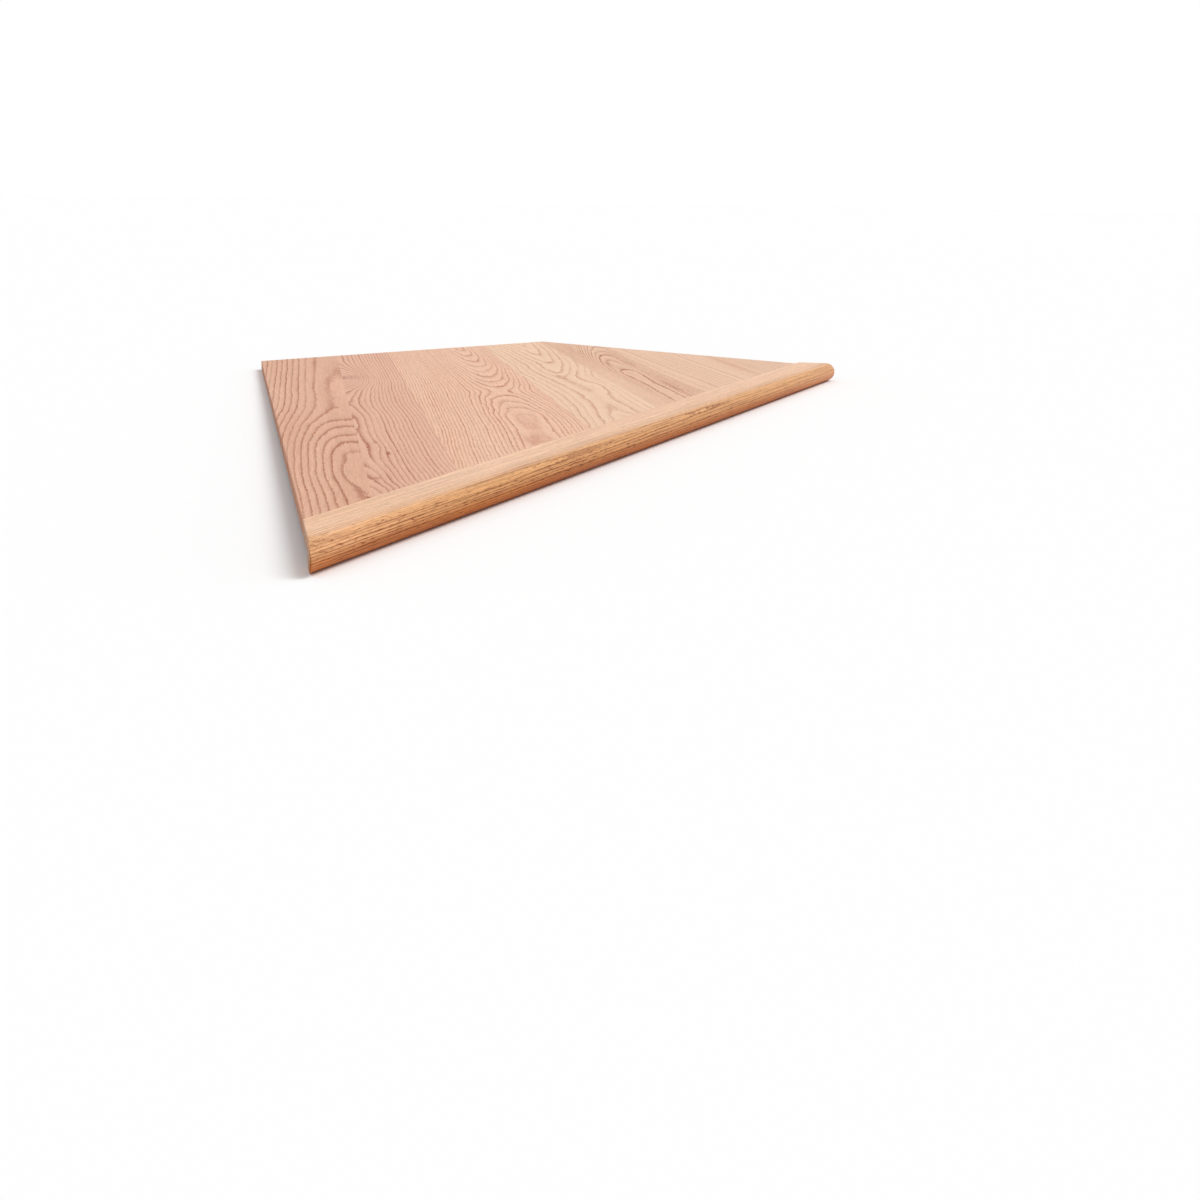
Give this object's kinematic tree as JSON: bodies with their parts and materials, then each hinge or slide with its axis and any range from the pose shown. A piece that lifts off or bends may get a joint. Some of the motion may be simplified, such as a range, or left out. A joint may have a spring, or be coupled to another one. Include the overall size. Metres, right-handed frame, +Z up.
{
  "type": "stair tread",
  "caption": "Kite-shaped winder tread: edge-glued oak panel with a half-round nosing strip, hanging lip and riser rebate along its front.",
  "frame": {"origin": "on the floor, below the middle of the part's box", "axes": "+X along the nosing, away from the newel end; +Y from the nosing towards the back wall; +Z up from the floor the tread rests on. The boards lean back by 0.86 degrees, because the lip hangs below them"},
  "size_m": [2.6188, 1.2338, 0.0381],
  "materials": {
    "oak_rose": "satin varnish on pinkish oak",
    "oak_straw": "satin varnish on yellowish oak",
    "oak_nosing": "satin varnish on golden oak"
  },
  "bodies": {
    "root": {"nosing_strip": "oak_nosing", "stave_1": "oak_rose", "stave_2": "oak_rose", "stave_3": "oak_rose", "stave_4": "oak_straw", "stave_5": "oak_rose", "stave_6": "oak_rose", "stave_7": "oak_rose"}
  },
  "joints": []
}
